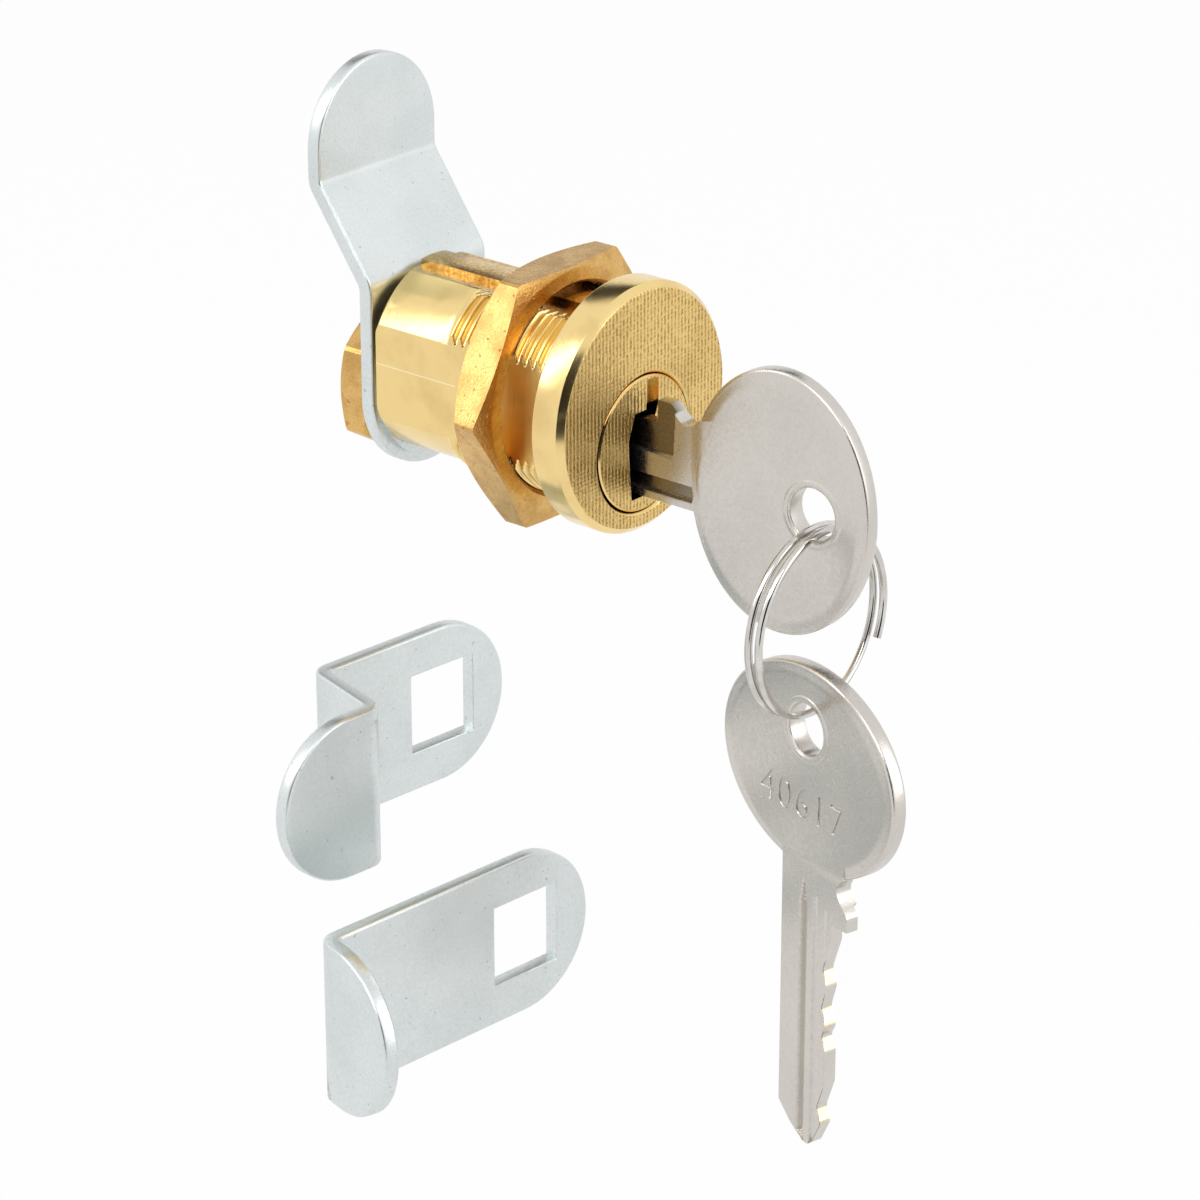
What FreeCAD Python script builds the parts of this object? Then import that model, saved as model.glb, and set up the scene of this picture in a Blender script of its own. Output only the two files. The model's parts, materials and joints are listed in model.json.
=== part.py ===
import FreeCAD, Part
import math
import os

# Mailbox cam lock with its key in, a second key on a split ring and two spare cams.
# Millimetres. Y runs along the barrel from front to rear, Z is up, X is to the right
# seen from the front. The origin is the middle of the flange's rear face.

V = FreeCAD.Vector
PITCH_TOLERANCE = 0.02          # sliver that keeps neighbouring solids apart

# Barrel and flange
flange_r = 11.9
flange_t = 3.5
flange_chamfer = 0.6
thread_r = 9.9
thread_depth = 0.55
thread_end = 13.8
rear_step = 0.52                # how much slimmer than the thread the barrel's rear is
barrel_l = 22.24
side_flat_x = 8.2
top_flat_z = 8.7

# Plug
plug_z = -3.36
plug_r = 5.4
head_r = 6.5
head_t = 2.3
plug_gap = 0.05
tail_square = 8.0
stud_r = 3.9
stud_beyond_nut = 0.6
keyway_gap = 0.15
key_drop = 1.6                  # how far the key's hole lies below the plug's axis

# Pins and their springs
pin_count = 5
pin_pitch = 3.6
first_cut = 4.3                 # from the key's stop to its first cut
pin_r = 1.25
pin_gap = 0.05
pin_tip_r = 0.45
pin_cone_l = 1.15               # slimmer than a cut all the way, so that the pins drop into it
driver_l = 2.6
spring_wire = 0.35
pin_drop = 0.65                 # how far the pins fall once the key is out
strip_w = 3.4
strip_t = 1.5
strip_gap = 0.03
strip_pocket = 0.4              # how far the strip's front end reaches into the flange

# Nuts, washer and cams
nut_y = 4.9
nut_t = 4.1
nut_front_slope = 15.0          # degrees that the corners are turned down on the front face
nut_back_slope = 34.0
nut_wall = 2.0                  # least brass between the thread and a flat
nut_gap = 0.08
nut_turn = 1.5                  # degrees the nut stands turned
washer_t = 0.63
washer_r = 7.2
cam_w = 16.2
cam_t = 1.5
cam_bend_r = 1.6
cam_hole = 8.1
cam_offset = 6.2
cam_web_low = 7.8
cam_web_high = 16.5
cam_top = 27.4
cam_nut_flats = 14.3
cam_nut_t = 3.6
cam_nut_slope = 30.0

# Keys: s runs from the hole to the tip, t across towards the cuts
bow_s = 4.0                     # middle of the bow from the hole
bow_half_s = 10.1
bow_half_t = 12.55
bow_thick = 1.9
bow_chamfer = 0.35
key_hole_r = 2.5
collar_w = 0.55
blade_thick = 1.7
blade_back = -3.2
blade_crest = 4.9
stop_s = 20.0
stop_t = 6.4
stop_w = 2.6
neck_l = 4.4                    # from the stop back to the shoulder beside the bow
neck_t = 4.7
bow_overlap = 3.0
blade_l = 23.2                  # from the stop to the tip
tip_bevel = 4.6
tip_ramp = 1.6
tip_drop = 0.4
tip_nose = ((1.8, -1.4), (0.0, 0.6), (0.0, 1.9), (0.5, 2.9))    # back from the tip, across
cut_depths = (1.1, 0.9, 0.8, 0.72, 1.05)
cut_half_top = 1.6
cut_half_floor = 0.7
# Grooves of the blade: side, from and to across, depth
grooves = ((1, -0.6, 0.6, 0.55), (1, 1.4, 2.1, 0.35), (-1, -2.5, -0.9, 0.55), (-1, 1.3, 6.2, 0.45))

# Split ring
wire_d = 0.74
wire_sides = 8                  # the tube's section has this many flats, to keep its facets few
ring_pitch = 1.15
ring_r = 9.2
ring_turns = 1.76
ring_start = -27.0              # degrees above the horizontal where the outer end lies
hang_gap = 0.25

# Second key and the loose cams
second_key_turn = -14.4         # degrees about Z
spare_turn = -5.0
spare_z_hole = (-3.8, 19.8, -35.6)
spare_l_hole = (-11.9, 0.0, -50.5)
spare_bend_r = 1.3
spare_z_reach = 15.0            # from the hole to the bend
spare_z_offset = 9.6
spare_z_lean = 1.9              # how far the step leans away over its offset
spare_z_tab = 11.8
spare_l_reach = 24.9
spare_l_tab = 10.6
spare_l_lean = 0.18             # the tab's lean for each millimetre of its length

rear_r = thread_r - rear_step
key_hole_y = -flange_t - stop_s
pin_ys = [-flange_t + first_cut + i * pin_pitch for i in range(pin_count)]
washer_y = barrel_l + PITCH_TOLERANCE
cam_y = washer_y + washer_t
cam_nut_y = cam_y + cam_t
key_z = plug_z - key_drop
shear_z = plug_z + plug_r


def ycyl(r, y0, y1, x=0.0, z=0.0):
    """Cylinder along Y."""
    return Part.makeCylinder(r, y1 - y0, V(x, y0, z), V(0, 1, 0))


def box(x0, x1, y0, y1, z0, z1):
    return Part.makeBox(x1 - x0, y1 - y0, z1 - z0, V(x0, y0, z0))


def hex_prism(flats, thick, y, z, turn, front_slope, back_slope):
    """Hexagonal nut blank along Y, each face's corners turned down at its own slope."""
    corner_r = flats / math.sqrt(3)
    corners = []
    for i in range(7):
        angle = math.radians(turn + 60 * i)
        corners.append(V(corner_r * math.cos(angle), y, z + corner_r * math.sin(angle)))
    blank = Part.Face(Part.makePolygon(corners)).extrude(V(0, thick, 0))
    face_r = flats / 2
    front_drop = (corner_r - face_r) * math.tan(math.radians(front_slope))
    back_drop = (corner_r - face_r) * math.tan(math.radians(back_slope))
    outline = [(0, 0), (face_r, 0), (corner_r, front_drop), (corner_r, thick - back_drop),
               (face_r, thick), (0, thick)]
    return blank.common(revolve_y(outline, y, z))


def revolve_y(points, y=0.0, z=0.0):
    """Solid turned about the Y axis through z from (radius, along) points."""
    wire = Part.makePolygon([V(r, y + a, z) for r, a in points] + [V(points[0][0], y + points[0][1], z)])
    return Part.Face(wire).revolve(V(0, y, z), V(0, 1, 0), 360)


def bent_strip(points, thick, radius):
    """Face of a bent sheet's edge in the YZ plane, its middle line through the points."""
    sides = {1: [], -1: []}
    last = len(points) - 1
    for i, point in enumerate(points):
        before = (points[i] - points[i - 1]).normalize() if i else (points[1] - points[0]).normalize()
        after = (points[i + 1] - points[i]).normalize() if i < last else before
        for side in sides:
            off0 = V(0, -before.z, before.y) * (side * thick / 2)
            off1 = V(0, -after.z, after.y) * (side * thick / 2)
            if i in (0, last):
                sides[side].append((point + off0,))
                continue
            cross = before.y * after.z - before.z * after.y
            turn = math.asin(max(-1.0, min(1.0, cross)))
            reach = radius * math.tan(abs(turn) / 2)
            start = point - before * reach
            end = point + after * reach
            inward = V(0, -before.z, before.y) * math.copysign(radius, turn)
            centre = start + inward
            arc_r = radius - math.copysign(1, turn) * side * thick / 2
            middle = centre + (point - centre).normalize() * arc_r
            sides[side].append((start + off0, middle, end + off1))
    edges = []
    chain = [sides[1], [tuple(reversed(run)) for run in reversed(sides[-1])]]
    runs = chain[0] + chain[1]
    for run, following in zip(runs, runs[1:] + runs[:1]):
        if len(run) == 3:
            edges.append(Part.Arc(*run).toShape())
        edges.append(Part.makeLine(run[-1], following[0]))
    return Part.Face(Part.Wire(edges))


def rounded_plate(half_w, low, high, y0, y1):
    """Plate standing up in Z between the middles of its two rounded ends."""
    plate = box(-half_w, half_w, y0, y1, low, high)
    return plate.fuse(ycyl(half_w, y0, y1, 0, low)).fuse(ycyl(half_w, y0, y1, 0, high))


def square_hole(y0, y1, z):
    half = cam_hole / 2
    return box(-half, half, y0, y1, z - half, z + half)


def make_body():
    """Turned flange and barrel with thread blank, flats, plug bore and pin chambers."""
    outline = [(0, -flange_t), (flange_r - flange_chamfer, -flange_t),
               (flange_r, flange_chamfer - flange_t), (flange_r, 0), (thread_r, 0),
               (thread_r, thread_end - thread_depth), (rear_r, thread_end),
               (rear_r, barrel_l), (0, barrel_l)]
    body = revolve_y(outline)
    for side in (-1, 1):
        inner, outer = sorted((side * side_flat_x, side * 2 * thread_r))
        body = body.cut(box(inner, outer, 0, barrel_l + 1, -2 * thread_r, 2 * thread_r))
    body = body.cut(box(-thread_r, thread_r, 0, barrel_l + 1, top_flat_z, 2 * thread_r))
    body = body.cut(ycyl(plug_r + plug_gap, -flange_t - 1, barrel_l + 1, 0, plug_z))
    body = body.cut(ycyl(head_r + plug_gap, -flange_t - 1, head_t - flange_t + plug_gap, 0, plug_z))
    slot_half = strip_w / 2 + strip_gap
    pocket = box(-slot_half, slot_half, -strip_pocket, barrel_l + 1, strip_floor, rear_r + strip_gap)
    body = body.cut(pocket).cut(box(-slot_half, slot_half, 0, barrel_l + 1, strip_floor, 2 * thread_r))
    for y in pin_ys:
        body = body.cut(Part.makeCylinder(pin_r + pin_gap, rear_r - plug_z, V(0, y, plug_z)))
    return body


def make_strip():
    """Brass strip pressed over the pin chambers, standing proud of the milled top."""
    front = strip_gap - strip_pocket
    strip = box(-strip_w / 2, strip_w / 2, front, barrel_l, strip_floor, strip_floor + strip_t)
    return strip.common(ycyl(rear_r, front, barrel_l))


def make_plug():
    """Plug with its head, keyway open to the top, pin holes, square tail and stud."""
    plug = ycyl(plug_r, head_t - flange_t, barrel_l, 0, plug_z)
    plug = plug.fuse(ycyl(head_r, -flange_t, head_t - flange_t, 0, plug_z))
    half = tail_square / 2
    square = box(-half, half, barrel_l, cam_nut_y, plug_z - half, plug_z + half)
    plug = plug.fuse(square.common(ycyl(plug_r - plug_gap, barrel_l, cam_nut_y, 0, plug_z)))
    plug = plug.fuse(ycyl(stud_r, cam_nut_y, cam_nut_y + cam_nut_t + stud_beyond_nut, 0, plug_z))
    slot_half = blade_thick / 2 + keyway_gap
    slot_end = blade_l - flange_t + 2 * keyway_gap
    slot_low = key_z + blade_back - keyway_gap
    plug = plug.cut(box(-slot_half, slot_half, -flange_t - 1, slot_end, slot_low, plug_z + 2 * head_r))
    for y in pin_ys:
        plug = plug.cut(Part.makeCylinder(pin_r + pin_gap, 2 * plug_r, V(0, y, ledge_z)))
    return plug.removeSplitter()


def key_pin(y):
    """Key pin with a coned tip, its top just under the shear line."""
    low = crest_z + pin_gap
    tip = Part.makeCone(pin_tip_r, pin_r, pin_cone_l, V(0, y, low))
    shaft = Part.makeCylinder(pin_r, plug_r, V(0, y, low + pin_cone_l))
    below = box(-pin_r, pin_r, y - pin_r, y + pin_r, plug_z, shear_z - plug_gap)
    return tip.fuse(shaft).common(below)


def driver_pin(y):
    """Plain driver pin that stands on the key pin."""
    return Part.makeCylinder(pin_r, driver_l, V(0, y, shear_z + PITCH_TOLERANCE))


def pin_spring(y):
    """Closed-up pin spring, as the sleeve that its turns fill."""
    low = shear_z + driver_l + 2 * PITCH_TOLERANCE
    height = strip_floor - PITCH_TOLERANCE - low
    outer = Part.makeCylinder(pin_r - pin_gap, height, V(0, y, low))
    return outer.cut(Part.makeCylinder(pin_r - pin_gap - spring_wire, height, V(0, y, low)))


def make_mounting_nut():
    flats = 2 * (thread_r + nut_wall)
    nut = hex_prism(flats, nut_t, nut_y, 0, nut_turn, nut_front_slope, nut_back_slope)
    return nut.cut(ycyl(thread_r + nut_gap, nut_y - 1, nut_y + nut_t + 1))


def make_washer():
    washer = ycyl(washer_r, washer_y, washer_y + washer_t, 0, plug_z)
    return washer.cut(square_hole(washer_y - 1, washer_y + washer_t + 1, plug_z))


def make_cam():
    """Offset cam pressed from strip, both ends rounded, square hole on the plug's tail."""
    half = cam_w / 2
    middle = cam_y + cam_t / 2
    line = [V(0, middle, plug_z - cam_w), V(0, middle, cam_web_low),
            V(0, middle + cam_offset, cam_web_high), V(0, middle + cam_offset, cam_top + cam_w)]
    sheet = bent_strip(line, cam_t, cam_bend_r).extrude(V(cam_w, 0, 0))
    sheet.translate(V(-half, 0, 0))
    plan = rounded_plate(half, plug_z, cam_top - half, cam_y - 1, cam_y + cam_offset + cam_t + 1)
    return sheet.common(plan).cut(square_hole(cam_y - 1, cam_y + cam_t + 1, plug_z))


def make_cam_nut():
    nut = hex_prism(cam_nut_flats, cam_nut_t, cam_nut_y, plug_z, 30, cam_nut_slope, cam_nut_slope)
    return nut.cut(ycyl(stud_r + plug_gap, cam_nut_y - 1, cam_nut_y + cam_nut_t + 1, 0, plug_z))


def blade_outline():
    """Blade's edge seen flat: straight back, bevelled tip, five cuts and the stop."""
    tip_s = stop_s + blade_l
    bow_s1 = bow_s + bow_half_s - bow_overlap
    points = [(bow_s1, blade_back), (tip_s - tip_bevel, blade_back)]
    points += [(tip_s - back, across) for back, across in tip_nose]
    points += [(tip_s - tip_ramp, blade_crest - tip_drop)]
    for i in reversed(range(pin_count)):
        middle = stop_s + first_cut + i * pin_pitch
        floor = blade_crest - cut_depths[i]
        points += [(middle + cut_half_top, blade_crest), (middle + cut_half_floor, floor),
                   (middle - cut_half_floor, floor), (middle - cut_half_top, blade_crest)]
    points += [(stop_s, blade_crest), (stop_s, stop_t - stop_w / 2), (stop_s - stop_w / 3, stop_t),
               (stop_s - stop_w, stop_t), (stop_s - (stop_w + neck_l) / 2, neck_t),
               (stop_s - neck_l, neck_t), (bow_s1, stop_t)]
    return points


def key_groove(face, t0, t1, depth):
    """Bar that mills one groove along the blade, with a slanted side; face is 1 or -1."""
    outer = face * blade_thick
    inner = face * (blade_thick / 2 - depth)
    s0 = stop_s - neck_l
    corners = [V(s0, t0, outer), V(s0, t1 + depth, outer), V(s0, t1, inner), V(s0, t0, inner)]
    return Part.Face(Part.makePolygon(corners + corners[:1])).extrude(V(2 * blade_l, 0, 0))


def make_key():
    """One key lying flat, its hole at the origin: oval bow, stop, cuts, two-sided grooves."""
    major, minor = bow_half_t, bow_half_s
    rim = Part.Ellipse(V(bow_s, major, 0), V(bow_s + minor, 0, 0), V(bow_s, 0, 0)).toShape()
    bow = Part.Face(Part.Wire([rim])).extrude(V(0, 0, bow_thick))
    bow.translate(V(0, 0, -bow_thick / 2))
    round_edges = [edge for edge in bow.Edges if edge.Length > 4 * minor]
    bow = bow.makeChamfer(bow_chamfer, round_edges)
    outline = [V(s, t, -blade_thick / 2) for s, t in blade_outline()]
    blade = Part.Face(Part.makePolygon(outline + outline[:1])).extrude(V(0, 0, blade_thick))
    key = bow.fuse(blade)
    for groove in grooves:
        key = key.cut(key_groove(*groove))
    key = key.cut(Part.makeCylinder(key_hole_r, 2 * bow_thick, V(0, 0, -bow_thick)))
    for face in (1, -1):
        cone = Part.makeCone(key_hole_r, key_hole_r + collar_w, collar_w / 2,
                             V(0, 0, face * (bow_thick / 2 - collar_w / 2)), V(0, 0, face))
        key = key.cut(cone)
    return key.removeSplitter()


def place(shape, columns, origin):
    """Moves a flat piece so that its X, Y and Z run along the given directions."""
    x, y, z = columns
    matrix = FreeCAD.Matrix(x.x, y.x, z.x, origin.x, x.y, y.y, z.y, origin.y,
                            x.z, y.z, z.z, origin.z, 0, 0, 0, 1)
    placed = shape.copy()
    placed.Placement = FreeCAD.Placement(matrix)
    return placed


def biarc(p0, t0, p1, t1):
    """Two arcs that leave p0 along t0 and reach p1 along t1 without a corner."""
    chord = p1 - p0
    both = t0 + t1
    spread = 2 * (1 - t0.dot(t1))
    along = chord.dot(both)
    reach = (math.sqrt(along ** 2 + spread * chord.dot(chord)) - along) / spread
    joint = (p0 + t0 * reach + p1 - t1 * reach) / 2
    arcs = []
    for start, apex, end in ((p0, p0 + t0 * reach, joint), (joint, p1 - t1 * reach, p1)):
        middle = (start + end) / 2
        cosine = (end - start).Length / (2 * reach)
        arcs.append(Part.Arc(start, middle + (apex - middle) * (cosine / (1 + cosine)), end).toShape())
    return arcs


def make_ring():
    """Split ring: nearly two turns of wire side by side, as one tube on true arcs."""
    mid_r = ring_r - wire_d / 2
    steps = int(round(ring_turns * 4))
    turn_each = ring_turns * 2 * math.pi / steps

    def at(quarter):
        angle = math.radians(ring_start) + quarter * turn_each
        along = (quarter / steps - 0.5) * ring_turns * ring_pitch
        return V(mid_r * math.cos(angle), key_hole_y + along, ring_z + mid_r * math.sin(angle))

    def heading(quarter):
        angle = math.radians(ring_start) + quarter * turn_each
        rise = ring_pitch / (2 * math.pi)
        return V(-mid_r * math.sin(angle), rise, mid_r * math.cos(angle)).normalize()

    arcs = []
    for i in range(steps):
        arcs += biarc(at(i), heading(i), at(i + 1), heading(i + 1))
    path = Part.Wire(arcs)
    rim = Part.Circle(at(0), heading(0), wire_d / 2)
    corners = [rim.value(2 * math.pi * i / wire_sides) for i in range(wire_sides + 1)]
    section = Part.makePolygon(corners)
    ring = path.makePipeShell([section], True, False)
    area = wire_sides / 2 * (wire_d / 2) ** 2 * math.sin(2 * math.pi / wire_sides)
    print("split ring least gap between turns", round(ring_pitch - wire_d, 2))
    print("volume", round(ring.Volume, 2), "section times length", round(area * path.Length, 2))
    return ring


def spare_place(shape, hole):
    """Puts a spare cam, made upright with its hole at the origin, lying to the left."""
    lying = shape.copy()
    lying.rotate(V(0, 0, 0), V(0, 1, 0), -90)
    lying.rotate(V(0, 0, 0), V(0, 0, 1), spare_turn)
    angle = math.radians(spare_turn)
    x, k, z = hole
    right = V(math.cos(angle), math.sin(angle), 0)
    back = V(-math.sin(angle), math.cos(angle), 0)
    lying.translate(right * x + back * k + V(0, 0, z))
    return lying


def make_spare_z():
    """Spare cam with a square step towards the front."""
    half = cam_w / 2
    middle = cam_t / 2
    step_z = spare_z_reach + spare_z_lean
    line = [V(0, middle, -cam_w), V(0, middle, spare_z_reach), V(0, middle - spare_z_offset, step_z),
            V(0, middle - spare_z_offset, step_z + spare_z_tab + cam_w)]
    return spare_sheet(line, half, step_z + spare_z_tab - half)


def make_spare_l():
    """Spare cam with its end turned square towards the front and rounded."""
    half = cam_w / 2
    middle = cam_t / 2
    bend_z = spare_l_reach - middle
    line = [V(0, middle, -cam_w), V(0, middle, bend_z), V(0, middle - cam_w, bend_z + spare_l_lean * cam_w)]
    sheet = spare_sheet(line, half, spare_l_reach + cam_w)
    tab = box(-half, half, middle + half - spare_l_tab, cam_w, -cam_w, 2 * spare_l_reach)
    rounding = Part.makeCylinder(half, 3 * spare_l_reach, V(0, middle + half - spare_l_tab, -cam_w))
    return sheet.common(tab.fuse(rounding))


def spare_sheet(line, half, round_z):
    sheet = bent_strip(line, cam_t, spare_bend_r).extrude(V(2 * half, 0, 0))
    sheet.translate(V(-half, 0, 0))
    plan = rounded_plate(half, 0, round_z, -2 * cam_w, 2 * cam_w)
    return sheet.common(plan).cut(square_hole(-1, cam_t + 1, 0))


crest_z = key_z + blade_crest
ledge_z = crest_z - pin_drop - pin_gap
strip_floor = rear_r - strip_t
wires_half = (ring_pitch + wire_d) / 2
seat = math.sqrt(key_hole_r ** 2 - wires_half ** 2)
ring_inner = ring_r - wire_d
ring_z = key_z - seat + hang_gap - ring_inner
second_hole_z = ring_z - ring_inner - seat + hang_gap

parts = {
    "lock_body": make_body(),
    "chamber_strip": make_strip(),
    "plug": make_plug(),
    "mounting_nut": make_mounting_nut(),
    "stop_washer": make_washer(),
    "locking_cam": make_cam(),
    "cam_nut": make_cam_nut(),
    "split_ring": make_ring(),
    "spare_z_cam": spare_place(make_spare_z(), spare_z_hole),
    "spare_l_cam": spare_place(make_spare_l(), spare_l_hole),
}
key = make_key()
parts["key_in_lock"] = place(key, (V(0, 1, 0), V(0, 0, 1), V(1, 0, 0)), V(0, key_hole_y, key_z))
turn = math.radians(second_key_turn)
across = V(math.sin(turn), -math.cos(turn), 0)
down = V(0, 0, -1)
parts["second_key"] = place(key, (down, across, down.cross(across)), V(0, key_hole_y, second_hole_z))
for number, y in enumerate(pin_ys, 1):
    parts[f"key_pin_{number}"] = key_pin(y)
    parts[f"driver_pin_{number}"] = driver_pin(y)
    parts[f"pin_spring_{number}"] = pin_spring(y)

os.makedirs("parts", exist_ok=True)
for name, shape in parts.items():
    shape.exportStep(f"parts/{name}.step")
    bounds = shape.BoundBox
    low = [round(value, 2) for value in (bounds.XMin, bounds.YMin, bounds.ZMin)]
    high = [round(value, 2) for value in (bounds.XMax, bounds.YMax, bounds.ZMax)]
    print(name, len(shape.Solids), shape.isValid(), round(shape.Volume, 2), low, high)
print("key hole", key_hole_y, key_z, "ring z", ring_z, "second hole", second_hole_z)
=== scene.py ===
import json
import math

import bpy
import numpy as np
from mathutils import Matrix, Vector


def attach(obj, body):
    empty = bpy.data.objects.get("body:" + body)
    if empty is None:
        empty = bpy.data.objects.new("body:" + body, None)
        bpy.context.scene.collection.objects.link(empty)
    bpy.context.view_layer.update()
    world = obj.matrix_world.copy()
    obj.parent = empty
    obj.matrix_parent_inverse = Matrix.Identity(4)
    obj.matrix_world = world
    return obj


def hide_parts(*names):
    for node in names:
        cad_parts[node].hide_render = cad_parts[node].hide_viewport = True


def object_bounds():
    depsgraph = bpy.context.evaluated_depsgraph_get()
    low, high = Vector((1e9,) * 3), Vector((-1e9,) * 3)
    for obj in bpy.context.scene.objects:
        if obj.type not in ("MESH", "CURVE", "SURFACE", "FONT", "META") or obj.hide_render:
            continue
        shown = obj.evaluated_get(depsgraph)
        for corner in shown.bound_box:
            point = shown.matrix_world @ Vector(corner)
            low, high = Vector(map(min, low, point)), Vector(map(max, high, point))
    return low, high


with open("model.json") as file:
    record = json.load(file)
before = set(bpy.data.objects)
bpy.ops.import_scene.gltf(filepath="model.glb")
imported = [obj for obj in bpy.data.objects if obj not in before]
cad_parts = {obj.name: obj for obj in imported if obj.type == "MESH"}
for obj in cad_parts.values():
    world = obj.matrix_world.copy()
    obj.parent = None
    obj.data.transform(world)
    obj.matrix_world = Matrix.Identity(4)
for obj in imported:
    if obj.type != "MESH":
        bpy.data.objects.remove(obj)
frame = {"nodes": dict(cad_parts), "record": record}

cad_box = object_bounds()

# Camera. A long lens looks down from the front left, so that the flange, the flat on the
# barrel's near side and both keys show. The lock's origin falls a little above the middle.
photo_side = 1200
focal_px = 4501
view_turn = math.radians(-49.98)
view_rise = math.radians(23.01)
view_distance = 0.41223
origin_px = (615.7, 400.2)
right = Vector((math.cos(view_turn), math.sin(view_turn), 0))
back = Vector((math.sin(view_turn) * math.cos(view_rise), -math.cos(view_turn) * math.cos(view_rise),
               math.sin(view_rise)))
up = back.cross(right)
aside = (origin_px[0] - photo_side / 2) / focal_px * view_distance
above = (photo_side / 2 - origin_px[1]) / focal_px * view_distance


def put(name, data):
    """Adds a new object with the given data to the scene."""
    made = bpy.data.objects.new(name, data)
    bpy.context.scene.collection.objects.link(made)
    return made


camera_data = bpy.data.cameras.new("photo_camera")
camera_data.sensor_width = 36
camera_data.lens = focal_px / photo_side * camera_data.sensor_width
camera_data.clip_start = 0.01
camera = put("photo_camera", camera_data)
turned = Matrix((right, up, back)).transposed().to_4x4()
camera.matrix_world = Matrix.Translation(back * view_distance - right * aside - up * above) @ turned
bpy.context.scene.camera = camera
bpy.context.scene.view_settings.view_transform = "Standard"


# Floor and light. A pale floor lies well below the hanging keys, and the pale room round it
# shows as plain white. Three softboxes and a low world light the metal, and dark cards give it
# something to reflect.
class Wire:
    """A socket of a node tree; arithmetic on it adds Math nodes, node() adds any other."""

    def __init__(self, tree, socket=None):
        self.tree = tree
        self.socket = socket

    def node(self, kind, settings, inputs, output=0):
        """Adds a node with its settings, then its sockets' values or links; gives one output."""
        made = self.tree.nodes.new(kind)
        for key, value in settings.items():
            if key == "stops":
                ramp = made.color_ramp
                for place, colour in value[len(ramp.elements):]:
                    ramp.elements.new(place)
                for element, (place, colour) in zip(ramp.elements, value):
                    element.position = place
                    element.color = (*colour, 1)
            else:
                setattr(made, key, value)
        for key, value in inputs.items():
            if isinstance(value, Wire):
                self.tree.links.new(value.socket, made.inputs[key])
            else:
                made.inputs[key].default_value = value
        return Wire(self.tree, made.outputs[output] if len(made.outputs) else None)

    def math(self, operation, first, second=0.0):
        """Adds a Math node on one or two values."""
        return self.node("ShaderNodeMath", {"operation": operation}, {0: first, 1: second})

    def __add__(self, other):
        return self.math("ADD", self, other)

    def __sub__(self, other):
        return self.math("SUBTRACT", self, other)

    def __rsub__(self, other):
        return self.math("SUBTRACT", other, self)

    def __mul__(self, other):
        return self.math("MULTIPLY", self, other)

    def __pow__(self, other):
        return self.math("POWER", self, other)

    def __gt__(self, other):
        return self.math("GREATER_THAN", self, other)

    def __lt__(self, other):
        return self.math("LESS_THAN", self, other)

    __radd__ = __add__
    __rmul__ = __mul__

    def blend(self, first, second):
        """Colour that goes from first to second as this socket goes from 0 to 1."""
        return self.node("ShaderNodeMix", {"data_type": "RGBA"}, {0: self, 6: first, 7: second}, 2)

    def between(self, low, high):
        """0 below low, 1 above high and smooth between them."""
        return self.node("ShaderNodeMapRange", {"interpolation_type": "SMOOTHSTEP"},
                         {0: self, 1: low, 2: high, 3: 0.0, 4: 1.0})


def seen_white(tree):
    """1 for what the camera, a reflection or glass sees directly, 0 for light on the object."""
    start = Wire(tree)
    rays = [start.node("ShaderNodeLightPath", {}, {}, name)
            for name in ("Is Camera Ray", "Is Glossy Ray", "Is Transmission Ray")]
    return start.math("MAXIMUM", start.math("MAXIMUM", rays[0], rays[1]), rays[2])


world = bpy.data.worlds.new("studio")
world.use_nodes = True
bpy.context.scene.world = world
tree = world.node_tree
tree.nodes.clear()
start = Wire(tree)
heading = start.node("ShaderNodeTexCoord", {}, {}, "Generated")
height = start.node("ShaderNodeSeparateXYZ", {}, {0: heading}, 2)
room_stops = [(0.0, (0.20, 0.19, 0.18)), (0.40, (0.34, 0.33, 0.32)),
              (0.55, (0.50, 0.50, 0.50)), (1.0, (0.95, 0.95, 0.97))]
room = start.node("ShaderNodeValToRGB", {"stops": room_stops}, {0: height * 0.5 + 0.5})
colour = seen_white(tree).blend(room, (1, 1, 1, 1))
background = start.node("ShaderNodeBackground", {}, {"Color": colour, "Strength": 1.0})
start.node("ShaderNodeOutputWorld", {}, {0: background})


def empty_material(name):
    """Material without nodes as yet, and a Wire to build them with."""
    paint = bpy.data.materials.new(name)
    paint.use_nodes = True
    paint.node_tree.nodes.clear()
    return paint, Wire(paint.node_tree)


floor_drop, floor_half, floor_glow = 0.03, 3.0, 0.93
floor_z = cad_box[0][2] - floor_drop
floor_mesh = bpy.data.meshes.new("floor")
floor_mesh.from_pydata([(-floor_half, -floor_half, floor_z), (floor_half, -floor_half, floor_z),
                        (floor_half, floor_half, floor_z), (-floor_half, floor_half, floor_z)],
                       [], [(0, 1, 2, 3)])
floor = put("floor", floor_mesh)
floor_paint, start = empty_material("floor_white")
matt = start.node("ShaderNodeBsdfDiffuse", {}, {"Color": (0.85, 0.85, 0.85, 1)})
glow = start.node("ShaderNodeEmission", {}, {"Color": (1, 1, 1, 1), "Strength": 1.0})
shown = seen_white(floor_paint.node_tree) * floor_glow
mixed = start.node("ShaderNodeMixShader", {}, {0: shown, 1: matt, 2: glow})
start.node("ShaderNodeOutputMaterial", {}, {0: mixed})
floor_mesh.materials.append(floor_paint)


def softbox(name, place, target, size, power):
    """Rectangular area lamp at a place in metres that faces the target; power in watts."""
    lamp = bpy.data.lights.new(name, "AREA")
    lamp.shape = "RECTANGLE"
    lamp.size, lamp.size_y = size
    lamp.energy = power
    lit = put(name, lamp)
    aim = (Vector(target) - Vector(place)).to_track_quat("-Z", "Y")
    lit.matrix_world = Matrix.Translation(place) @ aim.to_matrix().to_4x4()


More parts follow.
